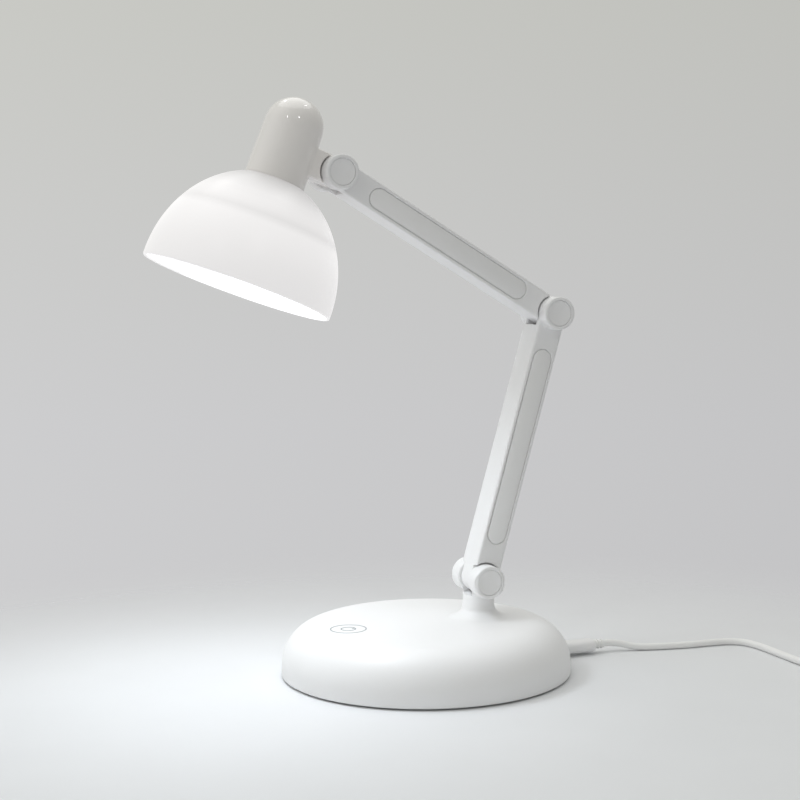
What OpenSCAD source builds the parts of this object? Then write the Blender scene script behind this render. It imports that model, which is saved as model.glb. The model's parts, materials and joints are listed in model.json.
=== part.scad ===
// Folding LED desk lamp, in millimetres.
// A round weighted base carries a short post. Two swing arms and a bell-shaped
// shade follow, each held by a fork-and-tongue friction joint.
// The origin is the centre of the base on the table, +Z up, head towards -X,
// and every hinge axis runs along Y.

/* [Base] */
// Outside diameter of the base
base_d = 150; // [140:1:180]
// Height of the flat top above the table
base_h = 26.4; // [25:0.2:32]
// Radius of the big rounded edge
base_edge_r = 20.5; // [18:0.5:21]
// Wall of the base cover
base_wall = 2.2; // [1.8:0.1:3]
// Gap between the table and the rim of the cover
rim_gap = 0.9; // [0.6:0.1:1.2]
// Thickness of the rubber pad under the base
pad_h = 1; // [0.8:0.1:1.6]
// Distance of the edge of the rubber pad from the edge of the base
pad_inset = 8; // [6:0.5:16]
// Thickness of the bottom plate
plate_t = 1.6; // [1.4:0.1:2]
// Diameter of the cast ballast disc
ballast_d = 100; // [80:1:106]
// Thickness of the ballast disc
ballast_t = 8; // [5:0.5:10]

/* [Post] */
// Distance of the post behind the centre of the base
post_x = 30; // [24:1:34]
// Height of the base hinge above the table
pivot_h = 47; // [46:0.5:60]
// Diameter of the neck of the post
post_d = 14.4; // [13:0.2:16]
// Radius of the blend between the neck and the base
post_blend = 10; // [6:0.5:12]

/* [Arms] */
// Hinge to hinge length of the lower arm
lower_len = 144; // [120:1:180]
// Hinge to hinge length of the upper arm
upper_len = 138; // [120:1:180]
// Width of an arm, in the plane that it swings in
arm_w = 14.4; // [13.6:0.2:15]
// Thickness of an arm, along the hinge axis
arm_t = 18; // [17:0.2:20]
// Rounding of the long edges of an arm
arm_edge = 1; // [0.6:0.1:1.6]
// Width of the inlay strip on each side of an arm
inlay_w = 10; // [9:0.2:10.6]
// Thickness of an inlay strip
inlay_t = 1.2; // [0.8:0.1:1.6]
// Distance from a hinge to the near end of the strip
inlay_end = 20; // [18:1:30]
// Groove around an inlay strip
groove = 0.4; // [0.2:0.1:0.6]
// Diameter of the two-core wire inside
wire_d = 1.2; // [1:0.1:1.4]

/* [Joints] */
// Diameter of the ear barrels
ear_d = 17.2; // [16.8:0.2:18]
// Width over both ears of a fork
ear_span = 31.6; // [30.6:0.2:34]
// Width of the slot in a fork
slot_w = 12; // [11:0.2:12.6]
// Gap on each side of a tongue in its slot
slot_gap = 0.2; // [0.15:0.05:0.3]
// Gap between an ear and the shoulder that faces it
shoulder_gap = 0.8; // [0.6:0.1:1]
// Gap between the end of a tongue and the floor of its slot
floor_gap = 1; // [0.8:0.1:1.4]
// Diameter of the hinge bolt
bolt_d = 4; // [3.5:0.1:4.2]
// Radial running clearance of the bolt in its bush
run_gap = 0.05; // [0.03:0.01:0.08]
// Wall of the bush
bush_wall = 0.75; // [0.6:0.05:0.8]
// Diameter of the friction washers
washer_d = 11; // [9:0.5:12]
// Thickness of a friction washer
washer_t = 0.8; // [0.6:0.1:1]
// Diameter of the disc cap in the end of an ear
cap_d = 13.4; // [12.8:0.2:13.8]
// Thickness of a disc cap
cap_t = 1.6; // [1:0.1:2]
// Depth of a disc cap below the end of its ear
cap_sunk = 0.5; // [0.3:0.1:0.8]

/* [Pose] */
// Backward lean of the lower arm from upright
lower_lean = 16.4; // [0:0.1:30]
// Rise of the upper arm from level
upper_rise = 31.4; // [20:0.1:45]
// Tilt of the head from upright
head_tilt = 21.4; // [10:0.1:30]

/* [Head] */
// Diameter of the rim of the shade
shade_d = 96; // [92:1:110]
// Height of the straight lip of the shade
shade_lip = 2.4; // [1:0.2:4]
// Height of the curved part of the shade, to its imagined top
shade_dome = 56; // [54:0.5:60]
// Wall of the shade
shade_wall = 2; // [1.6:0.1:2.4]
// Diameter of the housing where it sits on the shade
housing_d = 30.6; // [30:0.2:31.6]
// Diameter of the housing below its round top
housing_top_d = 29.6; // [28:0.2:30]
// Height of the top of the housing above the rim of the shade
housing_top = 98.8; // [96:0.2:104]
// Wall of the housing
housing_wall = 1.8; // [1.6:0.1:2.2]
// Height of the head hinge above the rim of the shade
hinge_up = 70.6; // [70:0.2:74]
// Distance of the head hinge from the axis of the shade
hinge_out = 26.7; // [26:0.1:29]
// Height of the top of the heat spreader above the rim
lamp_top = 38.4; // [34:0.2:38.6]
// Diameter of the heat spreader
spreader_d = 62; // [54:0.5:63]
// Depth of the opal diffuser dish
diffuser_h = 8.8; // [7:0.1:10]

/* [Lead] */
// Diameter of the supply lead
cord_d = 3.7; // [3.5:0.1:3.8]
// Height of the socket above the table
plug_z = 4.6; // [4.4:0.1:5.4]
// Width of the moulded grip of the plug
grip_w = 10.4; // [9.6:0.2:11]
// Height of the moulded grip of the plug
grip_h = 6.4; // [6:0.1:6.6]
// Length of the moulded grip of the plug
grip_len = 24.6; // [20:0.2:28]
// Length of the strain relief behind the grip
relief_len = 6.5; // [5:0.5:10]

/* [Hidden] */
$fn = 96;
cut = 0.5;      // how far a cut runs past the face that it opens
fit_gap = 0.05; // radial clearance of a screw, cap or bush in its hole
seat_gap = 0.1; // side clearance of a piece that lies in a pocket

// Base.
base_r = base_d / 2;
edge_x = base_r - base_edge_r;
edge_z = base_h - base_edge_r;
roof_z = base_h - base_wall;
plate_top = pad_h + plate_t;
plate_r = base_r - base_wall - 2 * seat_gap;
screw_r = 1.4;
screw_head_r = 2.8;
screw_head_h = 0.9;
cover_boss_r = 3.4;
cover_screw_ring = base_r - 12;
cover_screw_top = 16;
ballast_screw_ring = ballast_d / 2 - 12;
ballast_screw_r = 1.9;
ballast_head_r = 3.4;
ballast_head_h = 2;
touch_x = -42.5;
touch_r = 9.4;
touch_sign_r = 4;
touch_line = 0.6;
touch_relief = 0.12;
touch_pad_r = 9;
touch_pad_t = 0.3;
thin_wire_r = 0.5;

// Control board, with the socket sunk into a notch in its rear edge.
board_t = 1.6;
board_z = plug_z - board_t / 2;
board_front = post_x - 10;
board_rear = base_r - 5.5;
board_w = 32;
board_slot_gap = 3;
board_screw_x = [board_front + 4, board_rear - 8];
board_screw_y = board_w / 2 - 4;
board_stand_r = 2.4;
board_screw_r = 0.9;
board_screw_head_r = 1.8;
board_screw_head_h = 1.1;
choke = [7, 7, 3.4];
driver = [6, 5, 1.5];
touch_chip = [4.9, 3.9, 1.3];
wire_block = [5, 7.5, 4];
capacitor_r = [2.5, 3.1];
capacitor_h = [5.5, 6.5];
part_gap = 2.4;
socket_face = base_r - base_wall - 0.5;
socket_len = 7.3;
socket_w = 9;
socket_h = 3.2;
socket_wall = 0.3;
tip_w = 8.2;
tip_h = 2.4;
tip_wall = 0.3;
tip_len = 6.2;

// Post and joints.
post_r = post_d / 2;
ear_r = ear_d / 2;
ear_end = ear_span / 2;
half_w = arm_w / 2;
root_round = half_w - 0.8;
half_t = arm_t / 2;
half_slot = slot_w / 2;
half_tongue = half_slot - slot_gap;
shoulder_r = ear_r + shoulder_gap;
slot_floor = half_w + floor_gap;
recess_y = half_slot - washer_t - seat_gap;
bolt_r = bolt_d / 2;
bush_in = bolt_r + run_gap;
bush_out = bush_in + bush_wall;
seat_y = half_t + 0.4;
cap_seat = ear_end - cap_sunk - cap_t;
well_r = 5.4;
bolt_head_r = 3.7;
bolt_head_h = 3;
lock_washer_t = 0.8;
nut_h = 2.7;
nut_r = 4.04;
wire_r = wire_d / 2;
wire_hole_r = wire_r + 0.2;
wire_x = -(bush_out + 0.25 + wire_hole_r);
wire_tip = sqrt(half_w * half_w - wire_x * wire_x) - 0.3;

// Places of the hinges at rest.
base_hinge = [post_x, 0, pivot_h];
elbow_hinge = base_hinge + lower_len * [sin(lower_lean), 0, cos(lower_lean)];
head_hinge = elbow_hinge + upper_len * [-cos(upper_rise), 0, sin(upper_rise)];

// Head, measured from the centre of the rim of the shade.
shade_r = shade_d / 2;
housing_r = housing_d / 2;
housing_top_r = housing_top_d / 2;
housing_ball_z = housing_top - housing_top_r;
land_z = shade_lip + shade_dome * sqrt(1 - pow(housing_r / shade_r, 2));
land_in = land_z - 3.6;
shade_steps = 24;
spreader_r = spreader_d / 2;
spreader_t = 2;
spreader_z = lamp_top - spreader_t;
stem_r = 12.6;
led_board_r = spreader_r - 2;
led_board_t = 1.6;
led_board_z = spreader_z - led_board_t;
diffuser_wall = 1.2;
diffuser_in = spreader_r + fit_gap;
head_screw_ring = 9;
head_boss_r = 3.2;
head_rib_w = 3;
head_screw_top = land_z + 10;
wire_bore_r = 2;
inner_ring = 12;
outer_ring = 23;
chip = [3.5, 2.8, 0.7];

// Supply lead.
cord_r = cord_d / 2;
grip_start = socket_face + 0.5;
grip_end = grip_start + grip_len;
relief_end = grip_end + relief_len;
notch_gap = 0.4;

// The lead's route over the table, from the strain relief to the coil.
cord_route = [
    [relief_end, 0, plug_z], [relief_end + 4, 0, plug_z], [114, -1.2, 3.8], [119.5, -3.8, 2.5], [126, -6.2, 1.9],
    [136, -8.8, 1.85], [146, -10.8, 1.85], [156, -11.9, 1.85], [165, -12.4, 1.85],
    [172, -13.4, 1.85], [177.4, -15.6, 1.85], [181.2, -19.8, 1.85], [183.2, -26, 1.85],
    [184, -35, 1.85], [184, -46, 1.85], [184, -57, 1.85], [184, -67, 2], [184, -77, 2.4],
    [184, -84, 2.6], [184, -88.3, 2.6],
];
// The lead's way from the coil to the supply plug.
tail_route = [
    [217.3, -121.6, 6.8], [221, -121.6, 6.8], [226, -121.7, 6.3], [232, -121.9, 5.2], [238, -122, 4.3],
    [243, -122, 4], [247, -122, 4],
];
cord_sides = 8;

// The put-away coil: it spirals in on the table and out again on a second layer.
coil_centre = [213.6, -92];
coil_r = 29.6;
coil_turns = 7.25;
coil_pitch = 4.2;
coil_z = 2.6;
coil_step = 4.2;
coil_climb = 0.5;
coil_rings = 24;
coil_sides = 6;
coil_start = 180;
tie_angle = 20;
tie_w = 5;
tie_t = 0.6;
tie_gap = 0.5;

// The supply plug at the end of the tail.
supply_x = 247;
supply_y = -122;
supply_z = 4;
supply_relief = 5;
supply_len = 20;
supply_w = 15;
supply_h = 7.6;
supply_tip = [12, 12, 4.5];
supply_tip_wall = 0.4;

// ---- Shared shapes ----

// A rectangle with round corners, centred.
module rounded_rect(w, h, r) {
    square([w - 2 * r, h], center = true);
    square([w, h - 2 * r], center = true);
    for (x = [-1, 1], y = [-1, 1])
        translate([x * (w / 2 - r), y * (h / 2 - r)]) circle(r);
}

// A slot shape with round ends: length along X over the ends.
module stadium(len, w) {
    square([len - w, w], center = true);
    for (x = [-1, 1]) translate([x * (len - w) / 2, 0]) circle(w / 2);
}

// A rod along Y from y0 to y1.
module y_rod(r, y0, y1) {
    translate([0, y1, 0]) rotate([90, 0, 0]) cylinder(r = r, h = y1 - y0);
}

// A rod along Z from z0 to z1.
module z_rod(r, z0, z1) {
    translate([0, 0, z0]) cylinder(r = r, h = z1 - z0);
}

// A rod along X from x0 to x1.
module x_rod(r, x0, x1) {
    translate([x0, 0, 0]) rotate([0, 90, 0]) cylinder(r = r, h = x1 - x0);
}

// Copies on a ring, the first at an angle.
module on_ring(n, r, first = 0) {
    for (i = [0 : n - 1]) rotate([0, 0, first + 360 * i / n]) translate([r, 0, 0]) children();
}

// Carries a profile drawn in X (width) and Y (height) along the X axis.
module along_x(x0, len) {
    translate([x0, 0, 0]) rotate([90, 0, 90]) linear_extrude(len) children();
}

// ---- Tubes ----

function unit(v) = v / norm(v);
function mix(a, b, t) = a * (1 - t) + b * t;
function smooth(t) = let (u = min(1, max(0, t))) u * u * (3 - 2 * u);

// Direction of a path at point i.
function heading(path, i) =
    unit(path[min(i + 1, len(path) - 1)] - path[max(i - 1, 0)]);

// One ring of a tube: sides points around a path point, one flat side down.
function tube_ring(path, i, r, sides) =
    let (d = heading(path, i), across = unit(cross(d, [0, 0, 1])), up = cross(across, d))
    [for (k = [0 : sides - 1]) let (a = 360 * (k + 0.5) / sides)
        path[i] + r * (cos(a) * across + sin(a) * up)];

// A closed tube of flat triangles along a path.
module tube(path, r, sides) {
    rings = len(path);
    points = [for (i = [0 : rings - 1]) each tube_ring(path, i, r, sides)];
    walls = [for (i = [0 : rings - 2], k = [0 : sides - 1])
        let (a = i * sides + k, b = i * sides + (k + 1) % sides)
        each [[a, a + sides, b], [b, a + sides, b + sides]]];
    start = [for (k = [1 : sides - 2]) [0, k, k + 1]];
    last = (rings - 1) * sides;
    finish = [for (k = [1 : sides - 2]) [last, last + k + 1, last + k]];
    polyhedron(points = points, faces = concat(walls, start, finish));
}

// ---- Joints, drawn about a hinge at the origin ----

// The two ears of a fork.
module ears() {
    y_rod(ear_r, half_slot, ear_end);
    y_rod(ear_r, -ear_end, -half_slot);
}

// What is taken out of a fork: slot, bolt hole, wells and cap seats.
module fork_cuts() {
    translate([-2 * half_w, -half_slot, -slot_floor]) cube([4 * half_w, slot_w, slot_floor + 2 * ear_r]);
    y_rod(bolt_r + fit_gap, -ear_end - cut, ear_end + cut);
    for (s = [0, 180]) rotate([0, 0, s]) {
        y_rod(well_r, seat_y, ear_end + cut);
        y_rod(cap_d / 2 + fit_gap, cap_seat, ear_end + cut);
    }
}

// The section of an arm.
module arm_section() {
    rounded_rect(arm_w, arm_t, arm_edge);
}

// A bar that starts as a tongue at the origin and runs up to z = len.
module tongue_bar(len) {
    difference() {
        translate([0, 0, -half_w]) linear_extrude(len + half_w) arm_section();
        for (s = [0, 180]) rotate([0, 0, s]) {
            y_rod(shoulder_r, half_tongue, half_t + cut);
            translate([-arm_w, half_tongue, -arm_w]) cube([2 * arm_w, half_t, arm_w]);
        }
        difference() {
            translate([-arm_w, -half_t - cut, -arm_w]) cube([2 * arm_w, arm_t + 2 * cut, arm_w]);
            y_rod(half_w, -half_t - 2 * cut, half_t + 2 * cut);
        }
    }
}

// What is taken out of a tongue: the bush hole and the washer recesses.
module tongue_cuts() {
    y_rod(bush_out, -half_t, half_t);
    for (s = [0, 180]) rotate([0, 0, s]) y_rod(washer_d / 2 + 2 * seat_gap, recess_y, half_tongue + cut);
}

module hinge_bush() {
    difference() {
        y_rod(bush_out - 0.02, -recess_y, recess_y);
        y_rod(bush_in, -recess_y - cut, recess_y + cut);
    }
}

// Bolt with its head in the front well, where Y is negative.
module hinge_bolt() {
    nut_end = seat_y + lock_washer_t + nut_h;
    difference() {
        y_rod(bolt_head_r, -seat_y - bolt_head_h, -seat_y);
        translate([0, -seat_y - 1.4, 0]) rotate([90, 0, 0]) cylinder(r = 1.45, h = bolt_head_h, $fn = 6);
    }
    y_rod(bolt_r, -seat_y - 1, nut_end + 0.3);
}

// Lock washer and nut in the rear well.
module hinge_nut() {
    difference() {
        union() {
            y_rod(nut_r - 0.4, seat_y, seat_y + lock_washer_t);
            translate([0, seat_y + lock_washer_t + nut_h, 0]) rotate([90, 0, 0])
                cylinder(r = nut_r, h = nut_h, $fn = 6);
        }
        y_rod(bolt_r + fit_gap, seat_y - cut, ear_end);
    }
}

// The two friction washers beside the tongue.
module hinge_washers() {
    for (s = [0, 180]) rotate([0, 0, s]) difference() {
        y_rod(washer_d / 2, half_slot - washer_t, half_slot);
        y_rod(bolt_r + fit_gap, 0, half_slot + cut);
    }
}

// The two disc caps that close the ears.
module hinge_caps() {
    for (s = [0, 180]) rotate([0, 0, s]) y_rod(cap_d / 2, cap_seat, cap_seat + cap_t);
}

// ---- Arms, drawn upright with the tongue's hinge at the origin ----

function inlay_len(len) = len - 2 * inlay_end;

module inlay_pocket(len, extra, depth) {
    translate([0, 0, len / 2]) rotate([90, 0, 0]) rotate([0, 0, 90])
        translate([0, 0, half_t - depth]) linear_extrude(depth)
        stadium(inlay_len(len) + 2 * extra, inlay_w + 2 * extra);
}

module arm_beam(len) {
    channel_end = inlay_end + inlay_w / 2;
    difference() {
        union() {
            tongue_bar(len);
            translate([0, 0, len]) ears();
        }
        translate([0, 0, len]) fork_cuts();
        tongue_cuts();
        for (s = [0, 180]) rotate([0, 0, s]) translate([0, -cut, 0]) inlay_pocket(len, groove, inlay_t + cut);
        translate([wire_x, 0, 0]) z_rod(wire_hole_r, -half_w, len);
        translate([wire_x - 1, -half_t, channel_end]) cube([2, half_t + 1, len - 2 * channel_end]);
    }
}

module arm_inlay(len) {
    inlay_pocket(len, 0, inlay_t);
}

module arm_wire(len) {
    translate([wire_x, 0, 0]) z_rod(wire_r, -wire_tip, len - slot_floor);
}

// ---- Places ----

module at_base_hinge() {
    translate(base_hinge) children();
}

module at_lower_arm() {
    at_base_hinge() rotate([0, lower_lean, 0]) children();
}

module at_elbow() {
    at_lower_arm() translate([0, 0, lower_len]) children();
}

module at_upper_arm() {
    translate(elbow_hinge) rotate([0, upper_rise - 90, 0]) children();
}

module at_head_hinge() {
    at_upper_arm() translate([0, 0, upper_len]) children();
}

// The centre of the rim of the shade, with Z along the axis of the shade.
module at_head() {
    translate(head_hinge) rotate([0, head_tilt, 0]) translate([-hinge_out, 0, -hinge_up]) children();
}

// The tongue of the head, pointing back towards the housing.
module at_head_tongue() {
    translate([hinge_out, 0, hinge_up]) rotate([0, -90, 0]) children();
}

// ---- Base ----

// Half section of the base dome, drawn inside its skin by an inset.
module dome_section(inset, from_z) {
    intersection() {
        translate([0, from_z]) square([base_d, base_d]);
        union() {
            square([edge_x, base_h - inset]);
            translate([0, min(from_z, 0)]) square([base_r - inset, edge_z - min(from_z, 0)]);
            translate([edge_x, edge_z]) circle(base_edge_r - inset);
        }
    }
}

module dome(inset, from_z) {
    rotate_extrude($fn = 180) dome_section(inset, from_z);
}

// The neck with its concave blend into the top of the base, and the fork's root.
module post() {
    flare_r = post_r + post_blend;
    root_z = pivot_h - ear_r - 1;
    rotate_extrude() difference() {
        translate([0, base_h - base_wall / 2]) square([flare_r, post_blend + base_wall / 2]);
        translate([flare_r, base_h + post_blend]) circle(post_blend);
        translate([post_r, base_h + post_blend]) square([flare_r, post_blend]);
    }
    z_rod(post_r, base_h, pivot_h - slot_floor);
    intersection() {
        translate([0, 0, root_z - 7]) union() {
            cylinder(r1 = post_r, r2 = half_w + half_t - 4, h = 6);
            z_rod(half_w + half_t, 6, ear_r + 8);
        }
        linear_extrude(pivot_h) rounded_rect(arm_w, arm_t, root_round);
    }
}

module plug_profile(extra) {
    stadium(grip_w + 2 * extra, grip_h + 2 * extra);
}

module base_cover() color("white") difference() {
    union() {
        difference() {
            dome(0, rim_gap);
            dome(base_wall, -cut);
        }
        intersection() {
            dome(base_wall / 2, plate_top);
            on_ring(4, cover_screw_ring, 45) z_rod(cover_boss_r, plate_top, base_h);
        }
        translate([post_x, 0, 0]) post();
        at_base_hinge() ears();
    }
    at_base_hinge() fork_cuts();
    translate([post_x + wire_x, 0, 0]) z_rod(wire_hole_r + 0.6, roof_z - cut, pivot_h);
    on_ring(4, cover_screw_ring, 45) z_rod(screw_r + fit_gap, plate_top - cut, cover_screw_top + 1);
    translate([0, 0, plug_z]) along_x(socket_face - cut, 2 * base_wall) plug_profile(notch_gap);
    translate([socket_face - cut, -grip_w / 2 - notch_gap + grip_h / 2, 0])
        cube([2 * base_wall, grip_w + 2 * notch_gap - grip_h, plug_z]);
}

module base_plate() color("gainsboro") difference() {
    union() {
        z_rod(plate_r, pad_h, plate_top);
        board_corners() z_rod(board_stand_r, pad_h, board_z);
    }
    on_ring(4, cover_screw_ring, 45) {
        z_rod(screw_r + fit_gap, pad_h - cut, plate_top + cut);
        z_rod(screw_head_r + fit_gap, pad_h - cut, pad_h + screw_head_h + 0.1);
    }
    ballast_corners() z_rod(ballast_screw_r + fit_gap, pad_h - cut, plate_top + cut);
    board_corners() z_rod(board_screw_r + fit_gap, plate_top - 1, board_z + cut);
}

// Non-slip disc that the lamp stands on, stuck over the screws.
module rubber_pad() color("dimgray") z_rod(base_r - pad_inset, 0, pad_h);

module ballast_corners() {
    on_ring(3, ballast_screw_ring, 90) rotate([0, 0, -90]) children();
}

module ballast_disc() color("slategray") difference() {
    z_rod(ballast_d / 2, plate_top, plate_top + ballast_t);
    translate([board_front - board_slot_gap, -board_w / 2 - board_slot_gap, plate_top - cut])
        cube([ballast_d, board_w + 2 * board_slot_gap, ballast_t + 2 * cut]);
    ballast_corners() z_rod(ballast_screw_r + fit_gap, plate_top - cut, plate_top + ballast_t + cut);
}

module ballast_screws() color("silver") ballast_corners() {
    z_rod(ballast_screw_r, pad_h + 0.2, plate_top + ballast_t + 0.2);
    z_rod(ballast_head_r, plate_top + ballast_t, plate_top + ballast_t + ballast_head_h);
}

module base_screws() color("silver") on_ring(4, cover_screw_ring, 45) {
    z_rod(screw_head_r, pad_h + 0.1, pad_h + 0.1 + screw_head_h);
    z_rod(screw_r, pad_h + 0.2, cover_screw_top);
}

module board_corners() {
    for (x = board_screw_x, y = [-1, 1]) translate([x, y * board_screw_y, 0]) children();
}

module control_board() color("seagreen") difference() {
    translate([board_front, -board_w / 2, board_z]) cube([board_rear - board_front, board_w, board_t]);
    translate([socket_face - socket_len - seat_gap, -socket_w / 2 - seat_gap, 0])
        cube([socket_len + 2, socket_w + 2 * seat_gap, base_h]);
    board_corners() z_rod(board_screw_r + fit_gap, 0, base_h);
}

// Driver, choke and two capacitors ahead of the rear screws, touch chip and wire block behind the front ones.
module board_parts() color("dimgray") translate([0, 0, board_z + board_t]) {
    rear_x = board_screw_x[1] - board_screw_head_r - part_gap;
    front_x = board_screw_x[0] + board_screw_head_r + part_gap;
    capacitor_x = rear_x - capacitor_r[0];
    row_y = board_screw_y / 2;
    translate([rear_x - choke.x, -board_screw_y, 0]) cube(choke);
    translate([rear_x - choke.x - part_gap - driver.x, -driver.y, 0]) cube(driver);
    translate([capacitor_x, row_y, 0]) z_rod(capacitor_r[0], 0, capacitor_h[0]);
    translate([capacitor_x - capacitor_r[0] - part_gap - capacitor_r[1], row_y, 0])
        z_rod(capacitor_r[1], 0, capacitor_h[1]);
    translate([front_x, row_y, 0]) cube(touch_chip);
    translate([front_x, -board_screw_y, 0]) cube(wire_block);
}

module board_screws() color("silver") board_corners() {
    z_rod(board_screw_head_r, board_z + board_t, board_z + board_t + board_screw_head_h);
    z_rod(board_screw_r, plate_top - 0.8, board_z + board_t + 0.2);
}

module usb_socket() color("silver") translate([0, 0, plug_z]) {
    back = socket_face - socket_len;
    difference() {
        along_x(back, socket_len) stadium(socket_w, socket_h);
        along_x(back + 0.6, socket_len) stadium(socket_w - 2 * socket_wall, socket_h - 2 * socket_wall);
    }
    along_x(back + 0.3, socket_len - 1.8) square([5.6, 0.7], center = true);
}

module touch_pad() color("peru")
    translate([touch_x, 0, 0]) z_rod(touch_pad_r, roof_z - touch_pad_t, roof_z);

module touch_wire() color("goldenrod") {
    run_z = roof_z - touch_pad_t - thin_wire_r - 0.02;
    down_x = board_front + 2;
    translate([0, 0, run_z]) x_rod(thin_wire_r, touch_x, down_x);
    translate([down_x, 0, run_z]) sphere(thin_wire_r);
    translate([down_x, 0, 0]) z_rod(thin_wire_r, board_z + board_t, run_z);
}

// Printed touch mark: a ring round a smaller ring that is open at one side.
module touch_mark() color("darkgray") translate([touch_x, 0, base_h]) {
    difference() {
        cylinder(r = touch_r, h = touch_relief);
        translate([0, 0, -cut]) cylinder(r = touch_r - touch_line, h = 2);
    }
    difference() {
        cylinder(r = touch_sign_r, h = touch_relief);
        translate([0, 0, -cut]) cylinder(r = touch_sign_r - touch_line, h = 2);
        translate([0, -touch_line * 1.5, -cut]) cube([touch_sign_r + 1, touch_line * 3, 2]);
    }
    translate([touch_sign_r / 2, -touch_line / 2, 0]) cube([touch_sign_r / 2, touch_line, touch_relief]);
}

module base_wire() color("ivory")
    translate([post_x + wire_x, 0, 0]) z_rod(wire_r, board_z + board_t, pivot_h - slot_floor);

module base_hinge_bolt() color("silver") at_base_hinge() hinge_bolt();
module base_hinge_nut() color("silver") at_base_hinge() hinge_nut();
module base_hinge_washers() color("ivory") at_base_hinge() hinge_washers();
module base_hinge_caps() color("white") at_base_hinge() hinge_caps();

// ---- Lower arm ----

module lower_arm_beam() color("white") at_lower_arm() arm_beam(lower_len);
module lower_arm_front_inlay() color("whitesmoke") at_lower_arm() arm_inlay(lower_len);
module lower_arm_rear_inlay() color("whitesmoke") at_lower_arm() rotate([0, 0, 180]) arm_inlay(lower_len);
module lower_arm_wire() color("ivory") at_lower_arm() arm_wire(lower_len);
module lower_arm_bush() color("goldenrod") at_lower_arm() hinge_bush();
module elbow_bolt() color("silver") at_elbow() hinge_bolt();
module elbow_nut() color("silver") at_elbow() hinge_nut();
module elbow_washers() color("ivory") at_elbow() hinge_washers();
module elbow_caps() color("white") at_elbow() hinge_caps();

// ---- Upper arm ----

module upper_arm_beam() color("white") at_upper_arm() arm_beam(upper_len);
module upper_arm_front_inlay() color("whitesmoke") at_upper_arm() arm_inlay(upper_len);
module upper_arm_rear_inlay() color("whitesmoke") at_upper_arm() rotate([0, 0, 180]) arm_inlay(upper_len);
module upper_arm_wire() color("ivory") at_upper_arm() arm_wire(upper_len);
module upper_arm_bush() color("goldenrod") at_upper_arm() hinge_bush();
module head_hinge_bolt() color("silver") at_head_hinge() hinge_bolt();
module head_hinge_nut() color("silver") at_head_hinge() hinge_nut();
module head_hinge_washers() color("ivory") at_head_hinge() hinge_washers();
module head_hinge_caps() color("white") at_head_hinge() hinge_caps();

// ---- Head ----

// Solid bullet shape of the housing, drawn inside its skin by an inset.
module bullet(inset) {
    rotate_extrude() intersection() {
        square([housing_d, 2 * housing_top]);
        union() {
            polygon([[0, land_z - cut * sign(inset)], [housing_r - inset, land_z - cut * sign(inset)],
                [housing_top_r - inset, housing_ball_z], [0, housing_ball_z]]);
            translate([0, housing_ball_z]) circle(housing_top_r - inset);
        }
    }
}

module head_screw_places() {
    on_ring(3, head_screw_ring, 60) children();
}

// The housing and the tongue of the head are one moulding.
module head_housing() color("gainsboro") at_head() difference() {
    union() {
        difference() {
            union() {
                bullet(0);
                at_head_tongue() tongue_bar(hinge_out);
            }
            bullet(housing_wall);
        }
        head_screw_places() {
            z_rod(head_boss_r, land_z, head_screw_top + 2);
            translate([0, -head_rib_w / 2, land_z])
                cube([housing_top_r - head_screw_ring, head_rib_w, head_screw_top + 2 - land_z]);
        }
    }
    at_head_tongue() tongue_cuts();
    at_head_tongue() translate([wire_x, 0, 0]) z_rod(wire_hole_r, -half_w, hinge_out);
    head_screw_places() z_rod(screw_r + fit_gap, land_z - cut, head_screw_top + 0.5);
}

module head_bush() color("goldenrod") at_head() at_head_tongue() hinge_bush();

// Half section of the shade's outer or inner skin, closed to the axis.
function dome_points(r, dome_h, top) =
    let (last = asin(min(1, (top - shade_lip) / dome_h)))
    [for (i = [0 : shade_steps]) let (a = last * i / shade_steps)
        [r * cos(a), shade_lip + dome_h * sin(a)]];

module shade() color("snow") at_head() difference() {
    rotate_extrude($fn = 180) difference() {
        polygon(concat([[0, 0], [shade_r, 0]], dome_points(shade_r, shade_dome, land_z), [[0, land_z]]));
        polygon(concat([[0, -cut], [shade_r - shade_wall, -cut]],
            dome_points(shade_r - shade_wall, shade_dome - shade_wall, land_in), [[0, land_in]]));
    }
    z_rod(wire_bore_r + 2, 0, land_z + cut);
    head_screw_places() z_rod(screw_r + fit_gap, 0, land_z + cut);
}

// Aluminium disc and stem that carry the light and clamp the shade.
module heat_spreader() color("silver") at_head() difference() {
    union() {
        z_rod(spreader_r, spreader_z, lamp_top);
        z_rod(stem_r, spreader_z, land_in);
    }
    z_rod(wire_bore_r, spreader_z - cut, land_in + cut);
    head_screw_places() {
        z_rod(screw_r + fit_gap, spreader_z - cut, land_in + cut);
        z_rod(screw_head_r + fit_gap, spreader_z - cut, spreader_z + 2 * screw_head_h);
    }
    led_screw_places() z_rod(board_screw_r + fit_gap, spreader_z - cut, lamp_top - 0.2);
}

module led_screw_places() {
    on_ring(3, outer_ring - 5, 30) children();
}

module led_board() color("honeydew") at_head() difference() {
    z_rod(led_board_r, led_board_z, spreader_z);
    z_rod(wire_r + 0.3, led_board_z - cut, spreader_z + cut);
    led_screw_places() z_rod(board_screw_r + fit_gap, led_board_z - cut, spreader_z + cut);
}

module led_chips() color("khaki") at_head() {
    on_ring(8, inner_ring) chip_body();
    on_ring(16, outer_ring) chip_body();
}

module chip_body() {
    translate([-chip.x / 2, -chip.y / 2, led_board_z - chip.z]) cube(chip);
}

module led_board_screws() color("silver") at_head() led_screw_places() {
    z_rod(board_screw_head_r, led_board_z - board_screw_head_h, led_board_z);
    z_rod(board_screw_r, led_board_z - 0.2, lamp_top - 0.4);
}

// Opal dish that is pushed over the edge of the spreader.
module diffuser() color("white") at_head() difference() {
    z_rod(diffuser_in + diffuser_wall, lamp_top - diffuser_h, lamp_top);
    z_rod(diffuser_in, lamp_top - diffuser_h + diffuser_wall, lamp_top + cut);
}

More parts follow.
